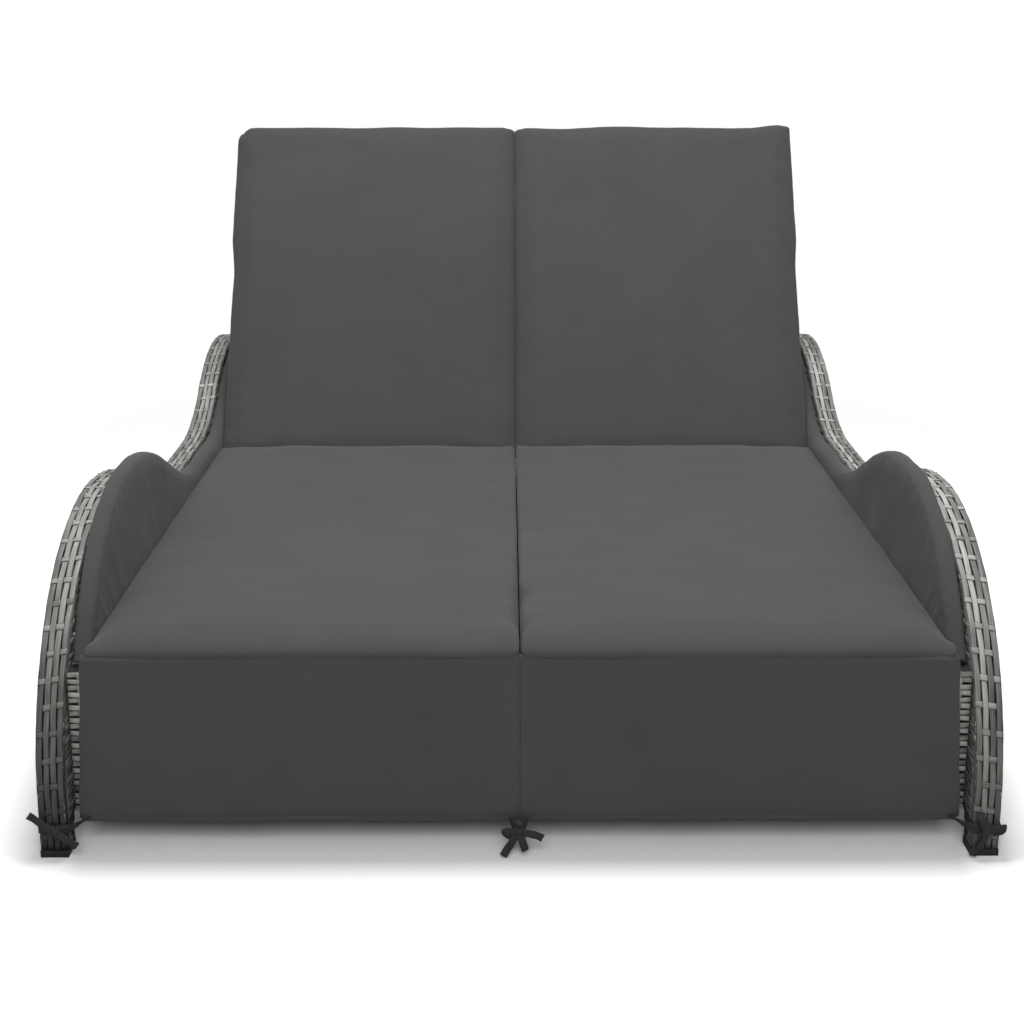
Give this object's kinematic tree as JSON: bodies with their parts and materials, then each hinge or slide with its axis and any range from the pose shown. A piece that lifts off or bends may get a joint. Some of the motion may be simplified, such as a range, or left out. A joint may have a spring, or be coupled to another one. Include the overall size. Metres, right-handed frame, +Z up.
{
  "type": "double chaise lounger",
  "caption": "Double chaise lounger with waved wicker side panels, dark cushions with front flaps and two separately reclining backrests on rack props.",
  "frame": {"origin": "on the floor, under the middle of the lounger's bounding box", "axes": "+X to the right of a viewer at the foot end, +Y from the foot end to the head end, +Z up"},
  "size_m": [1.4237, 2.014, 0.9486],
  "materials": {
    "wicker": "flat woven resin strands with fine lengthwise grain",
    "frame_steel": "dark powder coat",
    "fastener_steel": "zinc plated",
    "foot_plastic": "moulded black",
    "cushion_fabric": "dark grey smooth woven polyester",
    "tie_tape": "black woven tape"
  },
  "bodies": {
    "root": {"centre_beam": "frame_steel", "centre_racks": "frame_steel", "centre_tie": "tie_tape", "foot_caps": "foot_plastic", "front_apron_frame": "frame_steel", "front_apron_weave": "wicker", "hinge_pins": "fastener_steel", "left_bottom_rail": "frame_steel", "left_edge_weave": "wicker", "left_front_flap": "cushion_fabric", "left_hinge_lugs": "frame_steel", "left_inner_weave": "wicker", "left_lower_weave": "wicker", "left_outer_weave": "wicker", "left_seat_cushion": "cushion_fabric", "left_seat_frame": "frame_steel", "left_seat_weave": "wicker", "left_side_pad": "cushion_fabric", "left_side_rack": "frame_steel", "left_side_rail": "frame_steel", "left_side_tube": "frame_steel", "left_tie": "tie_tape", "left_uprights": "frame_steel", "panel_bolts": "fastener_steel", "rear_apron_frame": "frame_steel", "rear_apron_weave": "wicker", "right_bottom_rail": "frame_steel", "right_edge_weave": "wicker", "right_front_flap": "cushion_fabric", "right_hinge_lugs": "frame_steel", "right_inner_weave": "wicker", "right_lower_weave": "wicker", "right_outer_weave": "wicker", "right_seat_cushion": "cushion_fabric", "right_seat_frame": "frame_steel", "right_seat_weave": "wicker", "right_side_pad": "cushion_fabric", "right_side_rack": "frame_steel", "right_side_rail": "frame_steel", "right_side_tube": "frame_steel", "right_tie": "tie_tape", "right_uprights": "frame_steel"},
    "left_backrest": {"left_back_cushion": "cushion_fabric", "left_back_frame": "frame_steel", "left_back_weave": "wicker", "left_prop_brackets": "frame_steel", "left_prop_pins": "fastener_steel"},
    "right_backrest": {"right_back_cushion": "cushion_fabric", "right_back_frame": "frame_steel", "right_back_weave": "wicker", "right_prop_brackets": "frame_steel", "right_prop_pins": "fastener_steel"},
    "left_prop": {"left_prop_arms": "frame_steel", "left_prop_foot_bar": "frame_steel"},
    "right_prop": {"right_prop_arms": "frame_steel", "right_prop_foot_bar": "frame_steel"}
  },
  "joints": [
    {"name": "left_recline", "type": "hinge", "parent": "root", "child": "left_backrest", "pos_m": [-0.315, 0.212, 0.2555], "axis": [1, 0, 0], "range_deg": [-57, 0]},
    {"name": "left_prop_swing", "type": "hinge", "parent": "left_backrest", "child": "left_prop", "pos_m": [-0.315, 0.40513, 0.49781], "axis": [1, 0, 0], "range_deg": [0, 107.96]},
    {"name": "right_recline", "type": "hinge", "parent": "root", "child": "right_backrest", "pos_m": [0.315, 0.212, 0.2555], "axis": [1, 0, 0], "range_deg": [-57, 0]},
    {"name": "right_prop_swing", "type": "hinge", "parent": "right_backrest", "child": "right_prop", "pos_m": [0.315, 0.40513, 0.49781], "axis": [1, 0, 0], "range_deg": [0, 107.96]}
  ],
  "couplings": [
    {"joint": "left_prop_swing", "follows": "left_recline", "ratio": -1.8905},
    {"joint": "right_prop_swing", "follows": "right_recline", "ratio": -1.8905}
  ]
}
